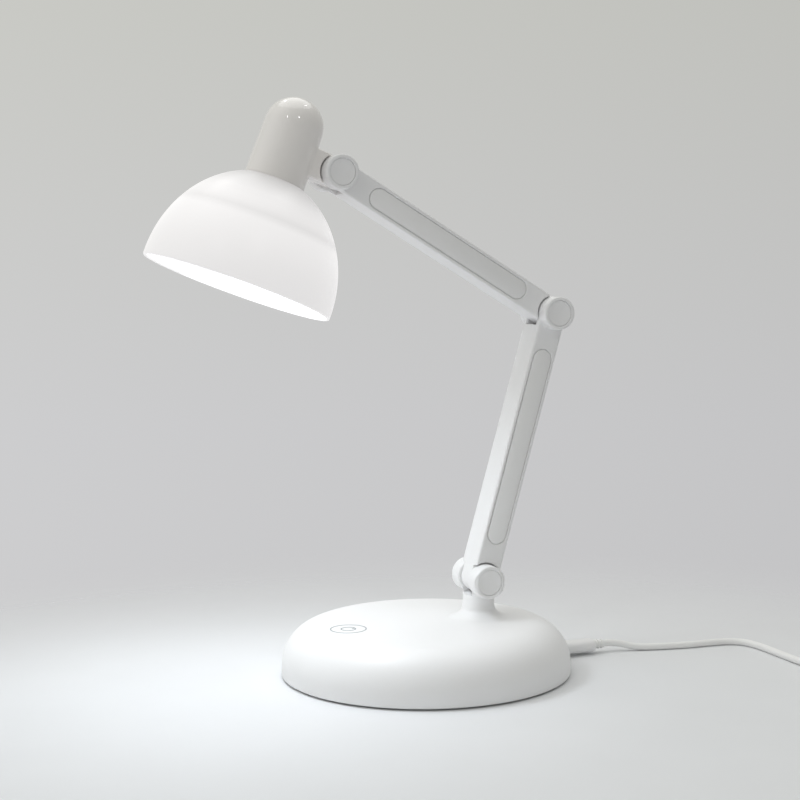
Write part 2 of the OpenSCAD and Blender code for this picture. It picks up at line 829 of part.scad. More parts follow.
module head_screws() color("silver") at_head() head_screw_places() {
    z_rod(screw_head_r, spreader_z + 0.1, spreader_z + 2 * screw_head_h);
    z_rod(screw_r, spreader_z + screw_head_h, head_screw_top);
}

// From the tongue into the housing, then down to the board.
module head_wire() color("ivory") at_head() {
    run_z = hinge_up + wire_x;
    translate([0, 0, run_z]) x_rod(wire_r, 0, hinge_out + wire_tip);
    translate([0, 0, run_z]) sphere(wire_r);
    z_rod(wire_r, led_board_z + 0.3, run_z);
}

// ---- Supply lead ----

module usb_plug_shell() color("silver") translate([0, 0, plug_z]) difference() {
    along_x(socket_face - tip_len, tip_len + 1.5) stadium(tip_w, tip_h);
    along_x(socket_face - tip_len - cut, tip_len) stadium(tip_w - 2 * tip_wall, tip_h - 2 * tip_wall);
}

module usb_plug_grip() color("white") translate([0, 0, plug_z]) difference() {
    along_x(grip_start, grip_len) plug_profile(0);
    along_x(grip_start - cut, 1 + cut) stadium(tip_w, tip_h);
}

// Short tapered sleeve with two flexing grooves.
module usb_strain_relief() color("white") translate([grip_end, 0, plug_z]) rotate([0, 90, 0]) rotate_extrude()
    difference() {
        polygon([[0, 0], [cord_r + 0.9, 0], [cord_r + 0.45, relief_len], [0, relief_len]]);
        for (i = [1, 2]) translate([cord_r + 0.15, relief_len * (i - 0.3) / 3]) square([2, relief_len / 6]);
    }

module usb_cord() color("white") tube(cord_route, cord_r, cord_sides);

module usb_cord_tail() color("white") tube(tail_route, cord_r, cord_sides);

// Middle line of the coil after t turns.
function coil_point(t) =
    let (a = coil_start + 360 * t, half = coil_turns / 2,
        r = coil_r - coil_pitch * (half - abs(t - half)),
        lift = coil_step * smooth((t - half + coil_climb / 2) / coil_climb))
    [coil_centre.x + r * cos(a), coil_centre.y + r * sin(a), coil_z + lift];

coil_count = round(coil_turns * coil_rings);
coil_turns_path = [for (i = [0 : coil_count]) coil_point(coil_turns * i / coil_count)];
coil_path = concat([coil_turns_path[0] + [0, cord_d, 0]], coil_turns_path,
    [coil_turns_path[coil_count] + [cord_d, 0, 0]]);

// Least gap of the coil to itself, measured on its middle line.
coil_gap = min([for (i = [0 : coil_count - coil_rings / 2], k = [i + coil_rings / 2 : coil_count])
    norm(coil_turns_path[i] - coil_turns_path[k])]) - cord_d;
echo(least_gap_of_the_coil_to_itself = coil_gap);

module usb_coil() color("white") tube(coil_path, cord_r, coil_sides);

// Band round the turns of the coil.
module cord_tie() color("whitesmoke") {
    tie_turn = (tie_angle + 360 - coil_start) / 360;
    inner = coil_r - coil_pitch * coil_turns / 2 - cord_r - tie_gap;
    outer = coil_r - coil_pitch * tie_turn + cord_r + tie_gap;
    bottom = coil_z - cord_r - tie_gap / 4;
    top = coil_z + coil_step + cord_r + tie_gap / 4;
    translate([coil_centre.x, coil_centre.y, 0]) rotate([0, 0, tie_angle])
        translate([(inner + outer) / 2, tie_w / 2, (bottom + top) / 2]) rotate([90, 0, 0]) linear_extrude(tie_w)
        difference() {
            rounded_rect(outer - inner + 2 * tie_t, top - bottom + 2 * tie_t, 2);
            rounded_rect(outer - inner, top - bottom, 2 - tie_t);
        }
}

module supply_plug_grip() color("white") translate([0, supply_y, supply_z]) difference() {
    union() {
        along_x(supply_x + supply_relief, supply_len) rounded_rect(supply_w, supply_h, 2);
        translate([supply_x, 0, 0]) rotate([0, 90, 0])
            cylinder(r1 = cord_r + 0.5, r2 = cord_r + 1.1, h = supply_relief);
    }
    along_x(supply_x + supply_relief + supply_len - 2, 3) square([supply_tip.y, supply_tip.z], center = true);
}

// Metal shell of the plug, with its contact block.
module supply_plug_shell() color("silver") translate([0, supply_y, supply_z]) {
    start = supply_x + supply_relief + supply_len - 2;
    inner = [supply_tip.y - 2 * supply_tip_wall, supply_tip.z - 2 * supply_tip_wall];
    difference() {
        along_x(start, supply_tip.x + 2) square([supply_tip.y, supply_tip.z], center = true);
        along_x(start + 2, supply_tip.x + 2) square(inner, center = true);
    }
    translate([0, 0, -inner.y / 4]) along_x(start + 1, supply_tip.x) square([inner.x, inner.y / 2], center = true);
}

base_cover();
base_plate();
rubber_pad();
ballast_disc();
ballast_screws();
base_screws();
control_board();
board_parts();
board_screws();
usb_socket();
touch_pad();
touch_wire();
touch_mark();
base_wire();
base_hinge_bolt();
base_hinge_nut();
base_hinge_washers();
base_hinge_caps();
lower_arm_beam();
lower_arm_front_inlay();
lower_arm_rear_inlay();
lower_arm_wire();
lower_arm_bush();
elbow_bolt();
elbow_nut();
elbow_washers();
elbow_caps();
upper_arm_beam();
upper_arm_front_inlay();
upper_arm_rear_inlay();
upper_arm_wire();
upper_arm_bush();
head_hinge_bolt();
head_hinge_nut();
head_hinge_washers();
head_hinge_caps();
head_housing();
head_bush();
shade();
heat_spreader();
led_board();
led_chips();
diffuser();
head_screws();
led_board_screws();
head_wire();
usb_plug_shell();
usb_plug_grip();
usb_strain_relief();
usb_cord();
usb_coil();
usb_cord_tail();
cord_tie();
supply_plug_grip();
supply_plug_shell();
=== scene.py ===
"""A folding LED desk lamp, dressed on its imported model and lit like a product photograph.

Shapes are drawn in millimetres, in the part's own frame or about a hinge.
They become metres when a piece is made.
"""

import json
import math

import bmesh
import bpy
import numpy as np
from mathutils import Matrix, Vector


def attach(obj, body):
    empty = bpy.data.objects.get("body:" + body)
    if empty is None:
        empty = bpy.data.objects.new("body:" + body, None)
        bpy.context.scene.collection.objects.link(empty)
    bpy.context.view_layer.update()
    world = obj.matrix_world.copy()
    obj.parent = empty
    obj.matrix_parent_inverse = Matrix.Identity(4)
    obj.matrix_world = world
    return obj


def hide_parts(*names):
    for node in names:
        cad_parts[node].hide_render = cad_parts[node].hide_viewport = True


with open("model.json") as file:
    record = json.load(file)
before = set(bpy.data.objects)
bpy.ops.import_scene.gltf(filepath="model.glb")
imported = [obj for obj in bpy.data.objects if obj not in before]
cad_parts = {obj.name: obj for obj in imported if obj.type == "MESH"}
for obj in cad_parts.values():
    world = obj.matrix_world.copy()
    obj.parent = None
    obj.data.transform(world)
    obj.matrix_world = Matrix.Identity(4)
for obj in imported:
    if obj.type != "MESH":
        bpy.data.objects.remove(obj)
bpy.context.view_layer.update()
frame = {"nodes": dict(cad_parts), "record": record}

MM = 0.001
AXIS = 0.01  # radius at which a profile meets the axis
SHARP = 35  # degrees from which an edge stays sharp

# ---- Sizes ----

BASE_R, BASE_H, EDGE_R, BASE_WALL, RIM_Z = 75.0, 26.4, 20.5, 2.2, 0.9
POST_R, POST_BLEND = 7.2, 10.0
HALF_W, HALF_T, ARM_EDGE = 7.2, 9.0, 1.1
LOWER_LEN, UPPER_LEN = 144.0, 138.0
INLAY_W, INLAY_END, GROOVE = 10.0, 20.0, 0.4
EAR_R, EAR_END, HALF_SLOT, HALF_TONGUE = 8.6, 15.8, 6.0, 5.8
SHOULDER_R, SLOT_FLOOR = 9.4, 8.2
BOLT_R, BUSH_R, WASHER_SEAT_R, WASHER_SEAT_Y = 2.05, 2.8, 5.7, 5.1
WELL_R, WELL_Y, CAP_R, CAP_Y, CAP_T, CAP_GAP = 5.4, 9.4, 6.7, 13.7, 1.6, 0.05
SHADE_R, SHADE_LIP, SHADE_DOME, SHADE_WALL = 48.0, 2.4, 56.0, 2.0
HOUSING_R, HOUSING_TOP_R, HOUSING_TOP, HOUSING_WALL = 15.3, 14.8, 98.8, 1.8
HINGE_OUT, HINGE_UP = 26.7, 70.6
LAMP_TOP, SPREADER_R, DIFFUSER_H, DIFFUSER_WALL = 38.4, 31.05, 8.8, 1.2
CORD_R = 1.85
PLUG_Z, GRIP_W, GRIP_H, GRIP_START, GRIP_END, RELIEF_END = 4.6, 10.4, 6.4, 72.8, 97.4, 103.9
NOTCH_GAP = 0.4
SUPPLY_Y, SUPPLY_Z, SUPPLY_START, SUPPLY_BODY, SUPPLY_END = -122.0, 4.0, 247.0, 252.0, 272.0
SUPPLY_W, SUPPLY_H, SUPPLY_CORNER = 15.0, 7.6, 2.2
GRIP_EDGE = 1.2

ROOT_ROUND = HALF_W - 0.8
LAND_Z = SHADE_LIP + SHADE_DOME * math.sqrt(1 - (HOUSING_R / SHADE_R) ** 2)
BALL_Z = HOUSING_TOP - HOUSING_TOP_R

# Hinges at rest, and how far each arm and the head are turned about Y.
LOWER_LEAN, UPPER_RISE, HEAD_TILT = 16.4, 31.4, 21.4
BASE_HINGE = np.array((30.0, 0.0, 47.0))


def turn_y(degrees):
    c, s = math.cos(math.radians(degrees)), math.sin(math.radians(degrees))
    return np.array(((c, 0, s), (0, 1, 0), (-s, 0, c)))


ELBOW = BASE_HINGE + turn_y(LOWER_LEAN) @ (0, 0, LOWER_LEN)
HEAD_HINGE = ELBOW + turn_y(UPPER_RISE - 90) @ (0, 0, UPPER_LEN)
HEAD_FOOT = HEAD_HINGE - turn_y(HEAD_TILT) @ (HINGE_OUT, 0, HINGE_UP)

PLACES = {
    "base": (np.zeros(3), 0),
    "base_hinge": (BASE_HINGE, 0),
    "lower_arm": (BASE_HINGE, LOWER_LEAN),
    "elbow": (ELBOW, LOWER_LEAN),
    "upper_arm": (ELBOW, UPPER_RISE - 90),
    "head_hinge": (HEAD_HINGE, UPPER_RISE - 90),
    "head": (HEAD_FOOT, HEAD_TILT),
}

# The lead's way over the table, and from the coil to the far plug.
CORD_ROUTE = [
    (103.9, 0, 4.6), (107.9, 0, 4.6), (114, -1.2, 3.8), (119.5, -3.8, 2.5), (126, -6.2, 1.9),
    (136, -8.8, 1.85), (146, -10.8, 1.85), (156, -11.9, 1.85), (165, -12.4, 1.85),
    (172, -13.4, 1.85), (177.4, -15.6, 1.85), (181.2, -19.8, 1.85), (183.2, -26, 1.85),
    (184, -35, 1.85), (184, -46, 1.85), (184, -57, 1.85), (184, -67, 2), (184, -77, 2.4),
    (184, -84, 2.6), (184, -88.3, 2.6),
]
TAIL_ROUTE = [
    (217.3, -121.6, 6.8), (221, -121.6, 6.8), (226, -121.7, 6.3), (232, -121.9, 5.2),
    (238, -122, 4.3), (243, -122, 4), (247, -122, 4),
]
COIL_X, COIL_Y, COIL_R, COIL_TURNS, COIL_PITCH = 213.6, -92.0, 29.6, 7.25, 4.2
COIL_Z, COIL_STEP, COIL_CLIMB, COIL_START = 2.6, 4.2, 0.5, 180.0


# ---- Making pieces ----

def link(name, data):
    obj = bpy.data.objects.new(name, data)
    bpy.context.scene.collection.objects.link(obj)
    return obj


def new_mesh(name, points, faces, place="base"):
    """Smooth-shaded mesh in metres, of points drawn about a place. Its sharp edges are kept."""
    at, tilt = PLACES[place]
    points = (np.asarray(points, float) @ turn_y(tilt).T + at) * MM
    mesh = bpy.data.meshes.new(name)
    mesh.from_pydata(points.tolist(), [], [list(map(int, f)) for f in faces])
    work = bmesh.new()
    work.from_mesh(mesh)
    bmesh.ops.recalc_face_normals(work, faces=work.faces)
    work.to_mesh(mesh)
    work.free()
    mesh.polygons.foreach_set("use_smooth", [True] * len(mesh.polygons))
    mesh.set_sharp_from_angle(angle=math.radians(SHARP))
    return mesh


def dress(obj, body, slot, *nodes):
    """A finished piece: it moves with a body and stands for some nodes."""
    obj.data.materials.clear()
    obj.data.materials.append(MATERIALS[slot])
    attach(obj, body)
    if nodes:
        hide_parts(*nodes)
    return obj


def cut_out(obj, cutter_mesh):
    """Takes a cutter out of an object for good."""
    cutter = link("cutter", cutter_mesh)
    cut = obj.modifiers.new("cut", "BOOLEAN")
    cut.object, cut.operation, cut.solver = cutter, "DIFFERENCE", "EXACT"
    done = bpy.data.meshes.new_from_object(obj.evaluated_get(bpy.context.evaluated_depsgraph_get()))
    obj.modifiers.clear()
    obj.data = done
    bpy.data.objects.remove(cutter)


def arc(x, y, radius, first, last, steps):
    """Points of an arc, angles in degrees."""
    return [(x + radius * math.cos(math.radians(a)), y + radius * math.sin(math.radians(a)))
            for a in np.linspace(first, last, steps + 1)]


def skin(rings, closed=False):
    """Points and faces of the surface over equal rings, closed on itself or capped at both ends."""
    count, size = len(rings), len(rings[0])
    faces = []
    for i in range(count if closed else count - 1):
        a, b = i * size, (i + 1) % count * size
        faces += [(a + k, a + (k + 1) % size, b + (k + 1) % size, b + k) for k in range(size)]
    if not closed:
        faces += [tuple(range(size))[::-1], tuple(range((count - 1) * size, count * size))]
    return [p for ring in rings for p in ring], faces


def turned(profile, closed=True, sides=192):
    """Surface of a profile of (radius, height) turned about Z, its material on the left of the profile."""
    angles = np.linspace(0, 2 * math.pi, sides, endpoint=False)
    return skin([[(r * math.cos(a), r * math.sin(a), z) for a in angles] for r, z in profile], closed)


def stadium(length, width, steps=16):
    """Outline with round ends, long along its first axis."""
    half, r = (length - width) / 2, width / 2
    return arc(half, 0, r, -90, 90, steps) + arc(-half, 0, r, 90, 270, steps)


def round_box(width, height, radius, steps=6):
    """Outline of a rectangle with round corners."""
    x, y = width / 2 - radius, height / 2 - radius
    return [p for cx, cy, a in ((x, -y, -90), (x, y, 0), (-x, y, 90), (-x, -y, 180))
            for p in arc(cx, cy, radius, a, a + 90, steps)]


# ---- Solids from distances ----

def both(a, b, radius=0.0):
    """Where two solids overlap, with a round outer edge."""
    corner = np.hypot(np.maximum(a + radius, 0), np.maximum(b + radius, 0))
    return np.minimum(-radius, np.maximum(a, b)) + corner


def joined(a, b, radius=0.0):
    """Two solids in one, with a concave blend."""
    corner = np.hypot(np.maximum(radius - a, 0), np.maximum(radius - b, 0))
    return np.maximum(radius, np.minimum(a, b)) - corner


def without(a, b, radius=0.0):
    return both(a, -b, radius)


def onto_surface(distance, points, cell):
    """Moves points onto the surface where distance is zero."""
    moved, step = points, 0.02
    for _ in range(6):
        slope = np.stack([distance(*(moved + step * axis).T) - distance(*(moved - step * axis).T)
                          for axis in np.eye(3)], -1) / (2 * step)
        size = np.maximum((slope ** 2).sum(-1), 0.3)
        moved = moved - slope * (distance(*moved.T) / size)[:, None]
        moved = points + np.clip(moved - points, -cell, cell)
    return moved


def moulded(distance, low, high, cell):
    """Points and faces of the solid where distance is negative.

    There is one point in each grid cell that the solid's skin crosses.
    """
    axes = [np.arange(a - 1.5 * cell, b + 2.5 * cell, cell) for a, b in zip(low, high)]
    grid = np.stack(np.meshgrid(*axes, indexing="ij"), -1).reshape(-1, 3)
    solid = (distance(*grid.T) < 0).reshape([len(a) for a in axes])
    nx, ny, nz = np.array(solid.shape) - 1
    ends = [(i, j, k) for i in (0, 1) for j in (0, 1) for k in (0, 1)]
    corners = sum(solid[i:nx + i, j:ny + j, k:nz + k].astype(int) for i, j, k in ends)
    skinned = (corners > 0) & (corners < 8)
    number = np.full(skinned.shape, -1)
    number[skinned] = np.arange(skinned.sum())
    cells = np.argwhere(skinned)
    points = np.stack([axes[n][cells[:, n]] for n in range(3)], -1) + cell / 2
    faces = []
    for n in range(3):
        side, num = np.moveaxis(solid, n, 0), np.moveaxis(number, n, 0)
        i, j, k = np.nonzero(side[1:] != side[:-1])
        quads = np.stack((num[i, j - 1, k - 1], num[i, j, k - 1], num[i, j, k], num[i, j - 1, k]), -1)
        outward = side[i, j, k] != (n == 1)
        quads[~outward] = quads[~outward, ::-1]
        faces.append(quads)
    return onto_surface(distance, points, cell), np.concatenate(faces)


# ---- Shapes of the arms and joints, drawn about a hinge ----

def arm_section(x, y):
    return both(abs(x) - HALF_W, abs(y) - HALF_T, ARM_EDGE)


def ear_pair(x, y, z):
    """The two barrels of a fork, with a rounded rim."""
    middle = (HALF_SLOT + EAR_END) / 2
    return both(np.hypot(x, z) - EAR_R, abs(abs(y) - middle) - (EAR_END - middle), 0.9)


def fork_holes(solid, x, y, z):
    """A fork with its slot, bolt hole, wells and cap seats taken out. Z points away from the slot's floor."""
    solid = without(solid, np.maximum(abs(y) - HALF_SLOT, -SLOT_FLOOR - z), 0.35)
    across = np.hypot(x, z)
    for radius, depth in ((BOLT_R, 0), (WELL_R, WELL_Y), (CAP_R + CAP_GAP, CAP_Y)):
        solid = without(solid, np.maximum(across - radius, depth - abs(y)), 0.15)
    return solid


def tongue_bar(x, y, z, length):
    """A bar that starts as a tongue at the hinge and runs up to length."""
    tongue = both(abs(y) - HALF_TONGUE, np.hypot(x, np.minimum(z, 0)) - HALF_W, 0.5)
    tongue = np.maximum(tongue, z - length)
    body = both(arm_section(x, y), SHOULDER_R - np.hypot(x, np.maximum(z, 0)), 0.5)
    return joined(tongue, np.maximum(body, z - length), 0.3)


def tongue_holes(solid, x, y, z):
    across = np.hypot(x, z)
    solid = without(solid, across - BUSH_R)
    return without(solid, np.maximum(across - WASHER_SEAT_R, WASHER_SEAT_Y - abs(y)))


def strip(length, steps):
    """A strip in the side of an arm that faces -Y, or its pocket.

    Each step is a height above that side, and how far the strip spreads there.
    """
    return skin([[(u, -HALF_T - height, length / 2 + v)
                  for v, u in stadium(length - 2 * INLAY_END + 2 * spread, INLAY_W + 2 * spread)]
                 for height, spread in steps])


def turned_about(points, faces):
    """The same piece on the other side of its arm or hinge."""
    return [(-x, -y, z) for x, y, z in points], faces


def together(one, other):
    """Two pieces in one mesh."""
    count = len(one[0])
    return list(one[0]) + list(other[0]), list(one[1]) + [tuple(i + count for i in f) for f in other[1]]


# ---- Arms ----

def make_arm(name, length):
    def distance(x, y, z):
        solid = joined(tongue_bar(x, y, z, length), ear_pair(x, y, z - length), 0.8)
        return tongue_holes(fork_holes(solid, x, y, z - length), x, y, z)
    low, high = (-EAR_R, -EAR_END, -HALF_W), (EAR_R, EAR_END, length + EAR_R)
    arm = link(name + "_shell", new_mesh(name, *moulded(distance, low, high, 0.5), name))
    pocket = strip(length, ((-0.9, GROOVE), (-0.4, GROOVE), (1, GROOVE + 1.4)))
    cut_out(arm, new_mesh("pockets", *together(pocket, turned_about(*pocket)), name))
    dress(arm, name, "white_plastic", name + "_beam")
    inlay = strip(length, ((-0.95, 0), (-0.2, 0), (-0.06, -0.06), (0, -0.2)))
    for side, shape in (("front", inlay), ("rear", turned_about(*inlay))):
        piece = link(f"{name}_{side}_strip", new_mesh(side, *shape, name))
        dress(piece, name, "inlay_plastic", f"{name}_{side}_inlay")


def make_hinge_caps(hinge, body):
    """The two disc caps of a hinge, a little dished, with a soft edge."""
    face, edge = CAP_Y + CAP_T, 0.35
    profile = [(AXIS, CAP_Y), (CAP_R, CAP_Y)] + arc(CAP_R - edge, face - edge, edge, 0, 90, 5)
    profile += [(CAP_R - 0.9, face), (CAP_R - 1.3, face - 0.12), (AXIS, face - 0.16)]
    points, faces = turned(profile, closed=False, sides=96)
    disc = [(x, z, y) for x, y, z in points], faces
    caps = link(hinge + "_discs", new_mesh("discs", *together(disc, turned_about(*disc)), hinge))
    dress(caps, body, "white_plastic", hinge + "_caps")


# ---- Base ----

def make_base():
    rim, inside, edge_at = 0.7, BASE_R - BASE_WALL, (BASE_R - EDGE_R, BASE_H - EDGE_R)
    outer = [(inside, RIM_Z + rim)] + arc(inside + rim, RIM_Z + rim, rim, 180, 270, 5) + \
        arc(BASE_R - rim, RIM_Z + rim, rim, 270, 360, 5) + arc(*edge_at, EDGE_R, 0, 90, 40) + [(AXIS, BASE_H)]
    inner = [(AXIS, BASE_H - BASE_WALL)] + arc(*edge_at, EDGE_R - BASE_WALL, 90, 0, 24)
    shell = link("base_dome", new_mesh("base_dome", *turned(outer + inner, sides=256)))
    half, r = (GRIP_W - GRIP_H) / 2, GRIP_H / 2 + NOTCH_GAP
    outline = arc(half, 0, r, -90, 90, 16) + arc(-half, 0, r, 90, 270, 16)
    outline += [(-half, -PLUG_Z - 1), (half, -PLUG_Z - 1)]
    rings = [[(x, y, PLUG_Z + z) for y, z in outline] for x in (GRIP_START - 3, BASE_R + 3)]
    cut_out(shell, new_mesh("notch", *skin(rings)))
    dress(shell, "base", "white_plastic", "base_cover")


def make_post():
    """The neck, the root of the fork that widens out of it, and the fork's ears."""
    foot = -EAR_R - 8
    widen, widen_h = 5, 6
    slant = 0.77  # cosine of the widening's slope

    def distance(x, y, z):
        top = BASE_H - BASE_HINGE[2]
        across = np.hypot(x, y)
        neck = joined(across - POST_R, z - top, POST_BLEND)
        neck = np.maximum(neck, z + SLOT_FLOOR)
        rise = z - foot
        wider = np.clip(rise, 0, widen_h) * widen / widen_h + np.clip(rise - widen_h, 0, 4)
        cone = (across - POST_R - wider) * slant
        root = both(abs(x) - HALF_W, abs(y) - HALF_T, ROOT_ROUND)
        block = np.maximum(np.maximum(root, cone), np.maximum(z, -rise))
        solid = joined(joined(neck, block, 1.5), ear_pair(x, y, z), 0.8)
        solid = np.maximum(solid, np.maximum(across - POST_R - POST_BLEND + 0.15, top - 1 - z))
        return fork_holes(solid, x, y, z)

    flare = POST_R + POST_BLEND
    low, high = (-flare, -flare, BASE_H - 1.5 - BASE_HINGE[2]), (flare, flare, EAR_R)
    post = link("post", new_mesh("post", *moulded(distance, low, high, 0.4), "base_hinge"))
    dress(post, "base", "white_plastic", "base_cover")


# ---- Head ----

def make_housing():
    slope = (HOUSING_R - HOUSING_TOP_R) / (BALL_Z - LAND_Z)

    def bullet(x, y, z, inset):
        across = np.hypot(x, y)
        side = across - (HOUSING_R - (z - LAND_Z) * slope)
        ball = np.sqrt(across ** 2 + (z - BALL_Z) ** 2) - HOUSING_TOP_R
        return np.where(z < BALL_Z, side, ball) + inset

    def distance(x, y, z):
        solid = joined(bullet(x, y, z, 0), tongue_bar(z - HINGE_UP, y, HINGE_OUT - x, HINGE_OUT), 0.9)
        solid = both(solid, LAND_Z - z, 0.3)
        solid = without(solid, bullet(x, y, z, HOUSING_WALL))
        return tongue_holes(solid, z - HINGE_UP, y, HINGE_OUT - x)

    low, high = (-HOUSING_R, -HOUSING_R, LAND_Z), (HINGE_OUT + HALF_W, HOUSING_R, HOUSING_TOP)
    housing = link("housing", new_mesh("housing", *moulded(distance, low, high, 0.45), "head"))
    dress(housing, "head", "cap_plastic", "head_housing")


def dome_curve(radius, height, top, steps):
    """Points of the shade's skin from the lip up to a height."""
    last = math.asin(min(1, (top - SHADE_LIP) / height))
    return [(radius * math.cos(a), SHADE_LIP + height * math.sin(a)) for a in np.linspace(0, last, steps)]


def make_shade():
    edge = SHADE_WALL / 2 - 0.1
    outer = arc(SHADE_R - edge, edge, edge, 270, 360, 6) + dome_curve(SHADE_R, SHADE_DOME, LAND_Z, 64)
    land_in = LAND_Z - 3.6
    inner = dome_curve(SHADE_R - SHADE_WALL, SHADE_DOME - SHADE_WALL, land_in, 48)[::-1]
    rim = arc(SHADE_R - SHADE_WALL + edge, edge, edge, 180, 270, 6)
    profile = outer + [(4, LAND_Z), (4, land_in)] + inner + rim
    shade = link("shade_bowl", new_mesh("shade_bowl", *turned(profile, sides=256), "head"))
    dress(shade, "head", "opal_shade", "shade")


def make_diffuser():
    outer_r, foot = SPREADER_R + DIFFUSER_WALL, LAMP_TOP - DIFFUSER_H
    edge = 2
    profile = [(AXIS, foot)] + arc(outer_r - edge, foot + edge, edge, 270, 360, 8) + [(outer_r, LAMP_TOP)] + \
        [(SPREADER_R, LAMP_TOP), (SPREADER_R, foot + DIFFUSER_WALL), (AXIS, foot + DIFFUSER_WALL)]
    dish = link("diffuser_dish", new_mesh("diffuser_dish", *turned(profile), "head"))
    dress(dish, "head", "opal_diffuser", "diffuser")


# ---- Supply lead ----

def spline_through(points, steps):
    """Smooth line through points, in steps pieces between each two."""
    p = [np.array(q, float) for q in points]
    p = [2 * p[0] - p[1]] + p + [2 * p[-1] - p[-2]]
    line = []
    for a, b, c, d in zip(p, p[1:], p[2:], p[3:]):
        for t in np.arange(steps) / steps:
            line.append(0.5 * (2 * b + (c - a) * t + (2 * a - 5 * b + 4 * c - d) * t ** 2
                               + (3 * b - a - 3 * c + d) * t ** 3))
    return line + [p[-2]]


def coil_point(turn):
    angle = math.radians(COIL_START + 360 * turn)
    half = COIL_TURNS / 2
    radius = COIL_R - COIL_PITCH * (half - abs(turn - half))
    climb = min(1, max(0, (turn - half + COIL_CLIMB / 2) / COIL_CLIMB))
    z = COIL_Z + COIL_STEP * climb * climb * (3 - 2 * climb)
    return COIL_X + radius * math.cos(angle), COIL_Y + radius * math.sin(angle), z


def cord_line():
    """The middle line of the whole lead, in metres."""
    coil = [coil_point(turn) for turn in np.linspace(0, COIL_TURNS, 349)]
    return np.array(spline_through(CORD_ROUTE + coil[:1], 3) + coil[1:-1] +
                    spline_through(coil[-1:] + TAIL_ROUTE, 3)) * MM


def make_cord():
    line = cord_line()
    data = bpy.data.curves.new("cord", "CURVE")
    data.dimensions = "3D"
    data.bevel_depth, data.bevel_resolution = CORD_R * MM, 5
    data.use_fill_caps = True
    run = data.splines.new("POLY")
    run.points.add(len(line) - 1)
    run.points.foreach_set("co", np.hstack((line, np.ones((len(line), 1)))).ravel())
    run.use_smooth = True
    cord = dress(link("cord", data), "base", "cord_jacket", "usb_cord", "usb_coil", "usb_cord_tail")


def rounded_bar(start, end, edge, outline):
    """A bar along X with rounded ends, over outline(inset) in Y and Z."""
    turns = [math.radians(a) for a in np.linspace(0, 90, 6)]
    stations = [(start + edge * (1 - math.sin(a)), edge * (1 - math.cos(a))) for a in turns[::-1]] + \
        [(end - edge * (1 - math.sin(a)), edge * (1 - math.cos(a))) for a in turns]
    return skin([[(x, y, z) for y, z in outline(inset)] for x, inset in stations])


def along_x(points, x, y, z):
    """A turned piece laid along X."""
    return [(x + h, y + a, z + b) for a, b, h in points]


def make_plug():
    shape = rounded_bar(GRIP_START, GRIP_END, GRIP_EDGE, lambda inset: [
        (y, PLUG_Z + z) for y, z in stadium(GRIP_W - 2 * inset, GRIP_H - 2 * inset)])
    dress(link("plug_grip", new_mesh("plug_grip", *shape)), "base", "white_plastic", "usb_plug_grip")
    length, thick, thin, groove = RELIEF_END - GRIP_END, CORD_R + 0.9, CORD_R + 0.45, CORD_R + 0.15
    profile = [(AXIS, -0.4), (thick, -0.4), (thick, 0)]
    for first, last in ((0.24, 0.4), (0.57, 0.73)):
        for share, deep in ((first - 0.02, 0), (first, 1), (last, 1), (last + 0.02, 0)):
            radius = thick + (thin - thick) * share
            profile.append((groove if deep else radius, length * share))
    profile += arc(thin - 0.3, length - 0.3, 0.3, 0, 90, 4) + [(AXIS, length)]
    points, faces = turned(profile, closed=False, sides=48)
    shape = along_x(points, GRIP_END, 0, PLUG_Z), faces
    dress(link("plug_relief", new_mesh("plug_relief", *shape)), "base", "cord_jacket", "usb_strain_relief")


def make_far_plug():
    shape = rounded_bar(SUPPLY_BODY, SUPPLY_END, GRIP_EDGE, lambda inset: [
        (SUPPLY_Y + y, SUPPLY_Z + z)
        for y, z in round_box(SUPPLY_W - 2 * inset, SUPPLY_H - 2 * inset, SUPPLY_CORNER - inset)])
    grip = link("far_plug_grip", new_mesh("far_plug_grip", *shape))
    dress(grip, "base", "white_plastic", "supply_plug_grip")
    length = SUPPLY_BODY - SUPPLY_START
    profile = [(AXIS, 0)] + arc(CORD_R + 0.2, 0.3, 0.3, 270, 360, 4)
    profile += [(CORD_R + 1.1, length + 0.4), (AXIS, length + 0.4)]
    points, faces = turned(profile, closed=False, sides=48)
    shape = along_x(points, SUPPLY_START, SUPPLY_Y, SUPPLY_Z), faces
    relief = link("far_plug_relief", new_mesh("far_plug_relief", *shape))
    dress(relief, "base", "white_plastic", "supply_plug_grip")


# ---- Materials ----

def node(tree, kind, **sockets):
    """A shader node, with values or links for its sockets."""
    made = tree.nodes.new("ShaderNode" + kind)
    for name, value in sockets.items():
        socket = made.inputs[name.replace("_", " ")]
        if isinstance(value, bpy.types.NodeSocket):
            tree.links.new(value, socket)
        else:
            socket.default_value = value
    return made


